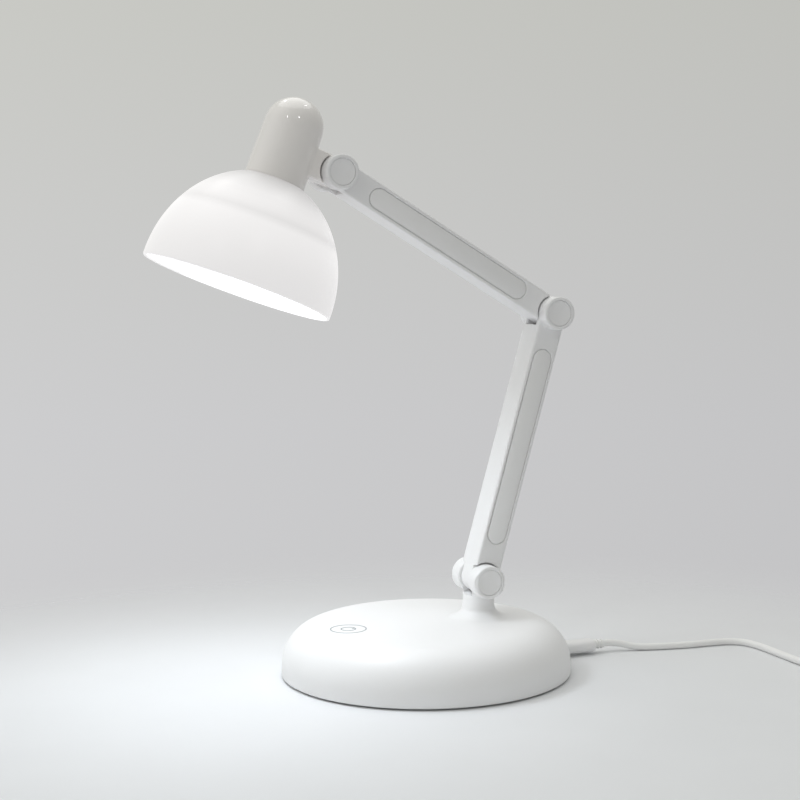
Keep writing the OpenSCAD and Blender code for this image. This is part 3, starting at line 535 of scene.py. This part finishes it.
def finish_of(slot, colour, roughness, grain=0.35, relief=0.01, drift=0.03, metal=0.0,
              stretch=(1, 1, 1), **more):
    """Material of a slot. Its tone and gloss drift slowly, and a fine grain in mm stands out of it."""
    material = bpy.data.materials.new(slot)
    material.use_nodes = True
    tree = material.node_tree
    shader = tree.nodes["Principled BSDF"]
    place = node(tree, "TexCoord").outputs["Object"]
    if stretch != (1, 1, 1):
        place = node(tree, "Mapping", Vector=place, Scale=stretch).outputs["Vector"]
    slow = node(tree, "TexNoise", Vector=place, Scale=28.0, Detail=2.0).outputs["Fac"]
    fine = node(tree, "TexNoise", Vector=place, Scale=1 / (grain * MM), Detail=2.0).outputs["Fac"]
    tones = tree.nodes.new("ShaderNodeValToRGB")
    tones.color_ramp.elements[0].position, tones.color_ramp.elements[1].position = 0.3, 0.7
    tones.color_ramp.elements[0].color = (*[c * (1 - drift) for c in colour], 1)
    tones.color_ramp.elements[1].color = (*[min(1, c * (1 + drift)) for c in colour], 1)
    tree.links.new(slow, tones.inputs["Fac"])
    tree.links.new(tones.outputs["Color"], shader.inputs["Base Color"])
    gloss = node(tree, "MapRange", Value=slow, To_Min=roughness * 0.9, To_Max=min(1, roughness * 1.1))
    tree.links.new(gloss.outputs["Result"], shader.inputs["Roughness"])
    bump = node(tree, "Bump", Height=fine, Distance=relief * MM, Strength=1.0)
    tree.links.new(bump.outputs["Normal"], shader.inputs["Normal"])
    shader.inputs["Metallic"].default_value = metal
    for name, value in more.items():
        shader.inputs[name.replace("_", " ")].default_value = value
    return material


MATERIALS = {
    "white_plastic": finish_of("white_plastic", (0.86, 0.86, 0.865), 0.42, drift=0.006),
    "inlay_plastic": finish_of("inlay_plastic", (0.87, 0.87, 0.87), 0.36, drift=0.006),
    "cap_plastic": finish_of("cap_plastic", (0.885, 0.86, 0.835), 0.3, drift=0.006, Coat_Weight=1.0,
                            Coat_Roughness=0.03),
    "opal_shade": finish_of("opal_shade", (0.35, 0.345, 0.345), 0.36, relief=0.003, drift=0.004,
                            Emission_Strength=1.0),
    "opal_diffuser": finish_of("opal_diffuser", (0.95, 0.95, 0.94), 0.5, relief=0.005, drift=0.004,
                               Emission_Color=(1.0, 0.985, 0.96, 1), Emission_Strength=0.9),
    "plate_plastic": finish_of("plate_plastic", (0.63, 0.63, 0.63), 0.55),
    "pad_rubber": finish_of("pad_rubber", (0.022, 0.022, 0.024), 0.85, grain=0.6, relief=0.06, drift=0.1),
    "ballast_iron": finish_of("ballast_iron", (0.05, 0.054, 0.06), 0.7, grain=0.8, relief=0.12, drift=0.15,
                              metal=0.6),
    "steel": finish_of("steel", (0.52, 0.53, 0.55), 0.32, grain=0.5, drift=0.06, metal=1.0),
    "bush_brass": finish_of("bush_brass", (0.68, 0.48, 0.2), 0.3, grain=0.3, drift=0.06, metal=1.0,
                            stretch=(1, 8, 1)),
    "washer_plastic": finish_of("washer_plastic", (0.75, 0.72, 0.6), 0.45),
    "pcb_green": finish_of("pcb_green", (0.01, 0.09, 0.035), 0.35, grain=1.2, drift=0.2),
    "chip_black": finish_of("chip_black", (0.006, 0.006, 0.007), 0.5, drift=0.1),
    "copper_foil": finish_of("copper_foil", (0.75, 0.35, 0.2), 0.35, grain=1.5, relief=0.03, metal=1.0),
    "wire_jacket": finish_of("wire_jacket", (0.75, 0.73, 0.68), 0.5, grain=0.4),
    "mark_print": finish_of("mark_print", (0.34, 0.35, 0.37), 0.5, drift=0.05),
    "spreader_metal": finish_of("spreader_metal", (0.65, 0.66, 0.67), 0.35, grain=0.4, metal=1.0),
    "led_board_white": finish_of("led_board_white", (0.8, 0.82, 0.78), 0.4),
    "chip_yellow": finish_of("chip_yellow", (0.85, 0.65, 0.14), 0.25, Emission_Color=(1.0, 0.9, 0.7, 1),
                             Emission_Strength=1.5),
    "cord_jacket": finish_of("cord_jacket", (0.87, 0.87, 0.865), 0.45, grain=0.5, relief=0.02, drift=0.008),
}

# Glow of the shade's wall at heights above its rim.
GLOW = [(0, 0.57), (12, 0.6), (24, 0.645), (30, 0.66), (34, 0.555), (37, 0.6), (40, 0.605), (44, 0.57),
        (48, 0.48), (52, 0.39), (LAND_Z, 0.29)]
GLOW_WARMTH = 0.985  # its green and blue as a share of its red


def glow_through(material):
    """Light through the shade's wall: strongest beside the diffuser, weaker where the spreader hides it."""
    tree = material.node_tree
    up = turn_y(HEAD_TILT) @ (0, 0, 1)
    along = tree.nodes.new("ShaderNodeVectorMath")
    along.operation = "DOT_PRODUCT"
    tree.links.new(node(tree, "TexCoord").outputs["Object"], along.inputs[0])
    along.inputs[1].default_value = up
    foot = float(HEAD_FOOT @ up) * MM
    share = node(tree, "MapRange", Value=along.outputs["Value"], From_Min=foot, From_Max=foot + LAND_Z * MM)
    levels = tree.nodes.new("ShaderNodeValToRGB")
    ramp = levels.color_ramp
    while len(ramp.elements) < len(GLOW):
        ramp.elements.new(0.5)
    for element, (height, level) in zip(ramp.elements, GLOW):
        element.position = height / LAND_Z
        element.color = (level, level * GLOW_WARMTH, level * GLOW_WARMTH, 1)
    tree.links.new(share.outputs["Result"], levels.inputs["Fac"])
    tree.links.new(levels.outputs["Color"], tree.nodes["Principled BSDF"].inputs["Emission Color"])


glow_through(MATERIALS["opal_shade"])

for name, obj in frame["nodes"].items():
    entry = next(part for part in frame["record"]["subparts"] if part["node"] == name)
    obj.data.materials.clear()
    obj.data.materials.append(MATERIALS[entry["material_slot"]])


# ---- The object ----

make_base()
make_post()
make_arm("lower_arm", LOWER_LEN)
make_arm("upper_arm", UPPER_LEN)
make_hinge_caps("base_hinge", "base")
make_hinge_caps("elbow", "lower_arm")
make_hinge_caps("head_hinge", "upper_arm")
make_housing()
make_shade()
make_diffuser()
make_plug()
make_far_plug()
make_cord()


# ---- Room, light and camera ----

# Grey of the room from behind the camera to behind the lamp, and of the soft patch above the lamp's head.
ROOM_TOWARD, ROOM_LEVELS = (-0.7, 0.7, 0), (0.304, 0.524, 0.649)
PATCH_TOWARD, PATCH_LEVEL = (-0.7, 0, 0.7), 0.34

# Lights: places and sizes in metres, powers in watts.
OVERHEAD_AT, OVERHEAD_TARGET, OVERHEAD_SIZE, OVERHEAD_POWER = (0.15, 0.3, 1.3), (0, 0, 0.05), 1.5, 5.2
LAMP_COLOUR, LAMP_POWER, MOUTH_POWER = (0.87, 0.93, 1), 0.03, 0.21

# Small ceiling lights: where each is seen from the cap, and its power.
CAP_AT, CEILING_FAR, CEILING_SIZE = Vector((-0.07, -0.01, 0.287)), 1.6, 0.12
CEILING = [((-0.553, -0.59, 0.589), 0.6), ((0.101, -0.824, 0.558), 0.6), ((-0.058, 0.594, 0.803), 0.4),
           ((0.545, 0.134, 0.828), 0.4)]

# Camera: its place in metres, its turns in radians and its lens in millimetres.
CAMERA_AT = (-0.3075, -0.7649, 0.2143)
YAW, PITCH, ROLL = 0.3678, 0.0874, -0.0119
LENS, SENSOR = 72.5, 36


def make_floor():
    """White table top that fades into the room's grey round the lamp."""
    centre, clear, gone, reach = Vector((-0.06, -0.15, 0)), 0.23, 0.52, 0.6
    mesh = bpy.data.meshes.new("floor")
    corners = [centre + Vector((reach * x, reach * y, 0)) for x, y in ((-1, -1), (1, -1), (1, 1), (-1, 1))]
    mesh.from_pydata(corners, [], [(0, 1, 2, 3)])
    floor = link("floor", mesh)
    material = finish_of("floor_paper", (0.75, 0.76, 0.775), 0.9, grain=1.0, drift=0.006)
    tree = material.node_tree
    place = node(tree, "TexCoord").outputs["Object"]
    away = tree.nodes.new("ShaderNodeVectorMath")
    away.operation = "DISTANCE"
    tree.links.new(place, away.inputs[0])
    away.inputs[1].default_value = centre
    fade = node(tree, "MapRange", Value=away.outputs["Value"], From_Min=clear, From_Max=gone)
    fade.interpolation_type = "SMOOTHSTEP"
    mix = tree.nodes.new("ShaderNodeMixShader")
    tree.links.new(fade.outputs["Result"], mix.inputs["Fac"])
    tree.links.new(tree.nodes["Principled BSDF"].outputs["BSDF"], mix.inputs[1])
    tree.links.new(tree.nodes.new("ShaderNodeBsdfTransparent").outputs["BSDF"], mix.inputs[2])
    tree.links.new(mix.outputs["Shader"], tree.nodes["Material Output"].inputs["Surface"])
    mesh.materials.append(material)


def set_room():
    """Grey all round, lighter behind the lamp than behind the camera, with a soft patch above its head."""
    world = bpy.data.worlds.new("room")
    world.use_nodes = True
    tree = world.node_tree
    toward = tree.nodes.new("ShaderNodeVectorMath")
    toward.operation = "DOT_PRODUCT"
    direction = node(tree, "TexCoord").outputs["Generated"]
    tree.links.new(direction, toward.inputs[0])
    toward.inputs[1].default_value = ROOM_TOWARD
    tones = tree.nodes.new("ShaderNodeValToRGB")
    tones.color_ramp.elements.new(0.5)
    for element, level in zip(tones.color_ramp.elements, ROOM_LEVELS):
        element.color = (level, level, level, 1)
    share = node(tree, "MapRange", Value=toward.outputs["Value"], From_Min=-1.0)
    tree.links.new(share.outputs["Result"], tones.inputs["Fac"])
    height = node(tree, "SeparateXYZ", Vector=direction).outputs["Z"]
    tint = tree.nodes.new("ShaderNodeValToRGB")
    tint.color_ramp.elements[0].color = (1.02, 1.02, 1.035, 1)
    tint.color_ramp.elements[1].color = (0.975, 0.98, 0.93, 1)
    rise = node(tree, "MapRange", Value=height, From_Min=-0.1, From_Max=0.15)
    tree.links.new(rise.outputs["Result"], tint.inputs["Fac"])
    mix = tree.nodes.new("ShaderNodeVectorMath")
    mix.operation = "MULTIPLY_ADD"
    tree.links.new(tones.outputs["Color"], mix.inputs[0])
    tree.links.new(tint.outputs["Color"], mix.inputs[1])
    above = tree.nodes.new("ShaderNodeVectorMath")
    above.operation = "DOT_PRODUCT"
    tree.links.new(direction, above.inputs[0])
    above.inputs[1].default_value = PATCH_TOWARD
    patch = node(tree, "MapRange", Value=above.outputs["Value"], From_Min=0.75, From_Max=0.98,
                 To_Max=PATCH_LEVEL)
    tree.links.new(patch.outputs["Result"], mix.inputs[2])
    tree.links.new(mix.outputs["Vector"], tree.nodes["Background"].inputs["Color"])
    bpy.context.scene.world = world


def add_light(name, at, target, size, watts, colour=(1, 1, 1)):
    data = bpy.data.lights.new(name, "AREA")
    data.shape, data.size, data.energy, data.color = "DISK", size, watts, colour
    light = link(name, data)
    light.matrix_world = Matrix.Translation(at) @ \
        (Vector(target) - Vector(at)).to_track_quat("-Z", "Y").to_matrix().to_4x4()
    return light


def light_the_lamp():
    """The lamp's own light: from the diffuser into the shade, and down out of the shade's whole mouth."""
    up = turn_y(HEAD_TILT) @ (0, 0, 1)
    for name, height, radius, back, watts in (
            ("lamp_light", LAMP_TOP - DIFFUSER_H - 0.4, SPREADER_R - 1, up, LAMP_POWER),
            ("mouth_light", 8, SHADE_R - 6, np.array((0, 0, 1)), MOUTH_POWER)):
        at = (HEAD_FOOT + up * height) * MM
        light = add_light(name, at, at - back, 2 * radius * MM, watts, LAMP_COLOUR)
        light.visible_camera = False
        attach(light, "head")


def add_camera():
    ahead = Vector((math.sin(YAW) * math.cos(PITCH), math.cos(YAW) * math.cos(PITCH), -math.sin(PITCH)))
    level = Vector((math.cos(YAW), -math.sin(YAW), 0))
    above = level.cross(ahead)
    right = math.cos(ROLL) * level + math.sin(ROLL) * above
    up = math.cos(ROLL) * above - math.sin(ROLL) * level
    data = bpy.data.cameras.new("camera")
    data.lens, data.sensor_width = LENS, SENSOR
    data.clip_start, data.clip_end = 0.02, 50
    camera = link("camera", data)
    camera.matrix_world = Matrix.Translation(CAMERA_AT) @ Matrix((right, up, -ahead)).transposed().to_4x4()
    bpy.context.scene.camera = camera


make_floor()
set_room()
add_light("overhead", OVERHEAD_AT, OVERHEAD_TARGET, OVERHEAD_SIZE, OVERHEAD_POWER)
for number, (toward, watts) in enumerate(CEILING):
    add_light(f"ceiling_{number}", CAP_AT + CEILING_FAR * Vector(toward), CAP_AT, CEILING_SIZE, watts)
light_the_lamp()
add_camera()
bpy.context.scene.view_settings.view_transform = "Standard"
